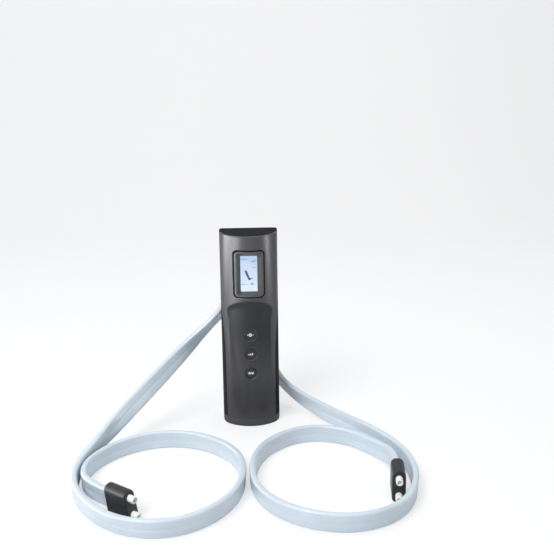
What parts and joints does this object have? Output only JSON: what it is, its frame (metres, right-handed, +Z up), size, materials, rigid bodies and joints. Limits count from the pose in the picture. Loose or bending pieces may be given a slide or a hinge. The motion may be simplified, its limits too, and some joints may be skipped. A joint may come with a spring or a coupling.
{
  "type": "compression therapy pump",
  "caption": "Upright hand-held air pump with a display and round push buttons, two flat hoses leaving its back and lying in loops, each ending in a plug.",
  "frame": {"origin": "on the table, at the centre of the base's flat D-shaped foot between its front and its back", "axes": "+Z up along the case, +X to the right as the display is read, +Y away from the reader, so the display faces -Y"},
  "size_m": [0.3255, 0.2571, 0.2138],
  "materials": {
    "front_cover": "satin gunmetal",
    "rear_cover": "gloss",
    "cap_plastic": "gloss",
    "base_plastic": "gloss",
    "bezel_plastic": "matte",
    "clear_window": "clear",
    "lcd": "lit display",
    "light_guide": "milky",
    "button_plastic": "satin",
    "board": "solder mask",
    "chip": "moulded",
    "steel": "zinc plated",
    "motor_can": "drawn can",
    "soft_rubber": "matte",
    "pump_plastic": "moulded",
    "crank_plastic": "moulded",
    "silicone": "translucent",
    "valve_iron": "turned",
    "hose_vinyl": "glossy pale vinyl",
    "plug_plastic": "gloss",
    "nozzle_plastic": "gloss white",
    "contact_brass": "turned"
  },
  "bodies": {
    "case": {"front_shell": "front_cover", "rear_shell": "rear_cover", "top_cap": "cap_plastic", "base_cap": "base_plastic", "display_bezel": "bezel_plastic", "display_window": "clear_window", "lcd_panel": "lcd", "backlight": "light_guide", "main_board": "board", "board_chips": "chip", "pressure_sensor": "chip", "tactile_switches": "chip", "board_screws": "steel", "case_screws": "steel", "pump_motor": "motor_can", "motor_sleeve": "soft_rubber", "pump_drive_housing": "pump_plastic", "pump_diaphragm": "soft_rubber", "pump_head": "pump_plastic", "feed_tube": "silicone", "air_manifold": "pump_plastic", "manifold_screws": "steel", "left_valve_body": "pump_plastic", "right_valve_body": "pump_plastic", "left_outlet_tube": "silicone", "right_outlet_tube": "silicone", "outlet_block": "pump_plastic", "outlet_housing": "rear_cover", "left_strain_relief": "soft_rubber", "right_strain_relief": "soft_rubber", "dc_inlet": "rear_cover", "left_hose": "hose_vinyl", "right_hose": "hose_vinyl", "left_plug": "plug_plastic", "right_plug": "plug_plastic", "left_plug_nozzles": "nozzle_plastic", "right_plug_nozzles": "nozzle_plastic", "left_plug_contacts": "contact_brass", "right_plug_contacts": "contact_brass"},
    "power_key": {"power_button": "button_plastic"},
    "mode_key": {"mode_button": "button_plastic"},
    "heat_key": {"heat_button": "button_plastic"},
    "crank": {"pump_crank": "crank_plastic"},
    "left_plunger": {"left_valve_plunger": "valve_iron"},
    "right_plunger": {"right_valve_plunger": "valve_iron"}
  },
  "joints": [
    {"name": "power_press", "type": "slide", "parent": "case", "child": "power_key", "axis": [0, 1, 0], "range_m": [0, 0.0008], "stiffness_N_per_m": 700},
    {"name": "mode_press", "type": "slide", "parent": "case", "child": "mode_key", "axis": [0, 1, 0], "range_m": [0, 0.0008], "stiffness_N_per_m": 700},
    {"name": "heat_press", "type": "slide", "parent": "case", "child": "heat_key", "axis": [0, 1, 0], "range_m": [0, 0.0008], "stiffness_N_per_m": 700},
    {"name": "pump_spin", "type": "hinge", "parent": "case", "child": "crank", "pos_m": [0, 0.0062, 0.06], "axis": [0, 0, 1], "continuous": true},
    {"name": "left_valve_lift", "type": "slide", "parent": "case", "child": "left_plunger", "axis": [0, 0, 1], "range_m": [0, 0.0012], "stiffness_N_per_m": 300},
    {"name": "right_valve_lift", "type": "slide", "parent": "case", "child": "right_plunger", "axis": [0, 0, 1], "range_m": [0, 0.0012], "stiffness_N_per_m": 300}
  ]
}
